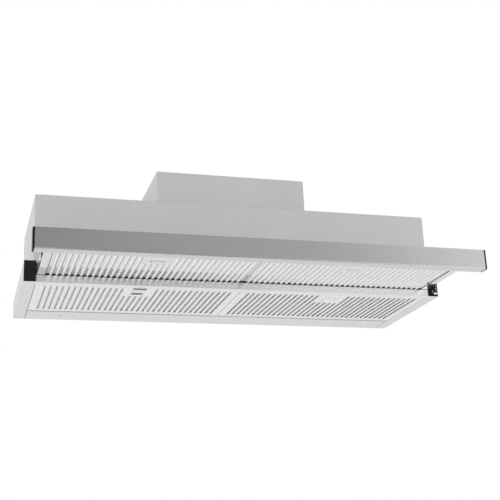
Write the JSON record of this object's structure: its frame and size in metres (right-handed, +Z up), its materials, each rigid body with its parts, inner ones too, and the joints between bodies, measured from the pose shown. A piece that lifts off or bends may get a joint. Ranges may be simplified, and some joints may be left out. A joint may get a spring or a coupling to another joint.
{
  "type": "pull out range hood",
  "caption": "Built-in range hood with a pull-out filter drawer, tilting grease filters, corner push buttons, blower box and round duct outlet on top.",
  "frame": {"origin": "middle of the tray's rear bottom edge, on the wall plane", "axes": "+X to the right, +Y towards the wall, +Z up to the duct"},
  "size_m": [0.898, 0.517, 0.302],
  "materials": {
    "body_steel": "satin silver-grey coated sheet steel",
    "tray_steel": "satin light grey coated sheet steel",
    "rail_steel": "satin stainless steel",
    "brushed_steel": "stainless steel brushed along its length",
    "zinc_steel": "bright zinc plated steel",
    "filter_aluminium": "bright pressed aluminium sheet",
    "mesh_aluminium": "layers of expanded aluminium mesh",
    "cast_aluminium": "as cast",
    "black_plastic": "fine grained black moulding",
    "button_plastic": "satin black moulding",
    "grey_plastic": "moulded dark grey plastic",
    "blower_plastic": "moulded grey plastic",
    "white_plastic": "moulded white plastic can",
    "white_lens": "translucent white light guide",
    "board_green": "green circuit board",
    "black_rubber": "matt black rubber"
  },
  "bodies": {
    "housing": {"tray_side_left": "tray_steel", "tray_side_right": "tray_steel", "front_rail": "rail_steel", "rear_panel": "tray_steel", "body_front_plate": "body_steel", "body_back_plate": "body_steel", "body_side_left": "body_steel", "body_side_right": "body_steel", "body_top_plate": "body_steel", "body_screws": "zinc_steel", "motor_box_wrap": "body_steel", "motor_box_back": "body_steel", "motor_box_lid": "body_steel", "outlet_collar": "grey_plastic", "scroll_half_left": "blower_plastic", "scroll_half_right": "blower_plastic", "outlet_transition": "blower_plastic", "motor": "cast_aluminium", "motor_bracket": "zinc_steel", "run_capacitor": "white_plastic", "terminal_box": "grey_plastic", "terminal_lid": "grey_plastic", "cable_gland": "black_plastic", "control_cable": "black_rubber", "corner_block": "black_plastic", "control_housing": "black_plastic", "control_board": "board_green", "indicator_lens": "white_lens", "slide_fixed_left": "zinc_steel", "slide_fixed_right": "zinc_steel"},
    "slide_carriage": {"slide_middles": "zinc_steel"},
    "drawer": {"slide_moving_left": "zinc_steel", "slide_moving_right": "zinc_steel", "drawer_side_left": "tray_steel", "drawer_side_right": "tray_steel", "drawer_front_beam": "tray_steel", "drawer_rear_beam": "tray_steel", "drawer_top_plate": "tray_steel", "front_panel": "brushed_steel", "end_cap_left": "black_plastic", "end_cap_right": "black_plastic", "panel_bumpers": "black_rubber", "drawer_filter_left": "filter_aluminium", "drawer_filter_right": "filter_aluminium", "drawer_mesh": "mesh_aluminium"},
    "left_drawer_latch": {"drawer_latch_left": "zinc_steel"},
    "right_drawer_latch": {"drawer_latch_right": "zinc_steel"},
    "left_tray_filter": {"tray_filter_left": "filter_aluminium", "tray_mesh_left": "mesh_aluminium"},
    "right_tray_filter": {"tray_filter_right": "filter_aluminium", "tray_mesh_right": "mesh_aluminium"},
    "left_tray_latch": {"tray_latch_left": "zinc_steel"},
    "right_tray_latch": {"tray_latch_right": "zinc_steel"},
    "left_flap": {"damper_flap_left": "grey_plastic"},
    "right_flap": {"damper_flap_right": "grey_plastic"},
    "fan": {"fan_wheel": "blower_plastic", "motor_shaft": "zinc_steel"},
    "light_button": {"button_light": "button_plastic"},
    "low_button": {"button_low": "button_plastic"},
    "high_button": {"button_high": "button_plastic"}
  },
  "joints": [
    {"name": "drawer_slide", "type": "slide", "parent": "housing", "child": "drawer", "axis": [0, 1, 0], "range_m": [0, 0.195]},
    {"name": "carriage_slide", "type": "slide", "parent": "housing", "child": "slide_carriage", "axis": [0, 1, 0], "range_m": [0, 0.0975]},
    {"name": "left_drawer_latch_pull", "type": "slide", "parent": "drawer", "child": "left_drawer_latch", "axis": [0, 1, 0], "range_m": [0, 0.004], "stiffness_N_per_m": 300, "springref_m": -0.003},
    {"name": "right_drawer_latch_pull", "type": "slide", "parent": "drawer", "child": "right_drawer_latch", "axis": [0, 1, 0], "range_m": [0, 0.004], "stiffness_N_per_m": 300, "springref_m": -0.003},
    {"name": "left_filter_tilt", "type": "hinge", "parent": "housing", "child": "left_tray_filter", "pos_m": [-0.212, -0.0753, 0.002], "axis": [1, 0, 0], "range_deg": [0, 80]},
    {"name": "right_filter_tilt", "type": "hinge", "parent": "housing", "child": "right_tray_filter", "pos_m": [0.212, -0.0753, 0.002], "axis": [1, 0, 0], "range_deg": [0, 80]},
    {"name": "left_tray_latch_pull", "type": "slide", "parent": "left_tray_filter", "child": "left_tray_latch", "axis": [0, 1, 0], "range_m": [0, 0.004], "stiffness_N_per_m": 300, "springref_m": -0.003},
    {"name": "right_tray_latch_pull", "type": "slide", "parent": "right_tray_filter", "child": "right_tray_latch", "axis": [0, 1, 0], "range_m": [0, 0.004], "stiffness_N_per_m": 300, "springref_m": -0.003},
    {"name": "left_flap_swing", "type": "hinge", "parent": "housing", "child": "left_flap", "pos_m": [-0.0023, -0.103, 0.283], "axis": [0, 1, 0], "range_deg": [0, 80]},
    {"name": "right_flap_swing", "type": "hinge", "parent": "housing", "child": "right_flap", "pos_m": [0.0023, -0.103, 0.283], "axis": [0, -1, 0], "range_deg": [0, 80]},
    {"name": "fan_spin", "type": "hinge", "parent": "housing", "child": "fan", "pos_m": [0, -0.15, 0.137], "axis": [1, 0, 0], "continuous": true},
    {"name": "light_press", "type": "slide", "parent": "housing", "child": "light_button", "axis": [0, 1, 0], "range_m": [0, 0.0012], "stiffness_N_per_m": 300, "springref_m": -0.002},
    {"name": "low_press", "type": "slide", "parent": "housing", "child": "low_button", "axis": [0, 1, 0], "range_m": [0, 0.0012], "stiffness_N_per_m": 300, "springref_m": -0.002},
    {"name": "high_press", "type": "slide", "parent": "housing", "child": "high_button", "axis": [0, 1, 0], "range_m": [0, 0.0012], "stiffness_N_per_m": 300, "springref_m": -0.002}
  ],
  "couplings": [
    {"joint": "carriage_slide", "follows": "drawer_slide", "ratio": 0.5}
  ]
}
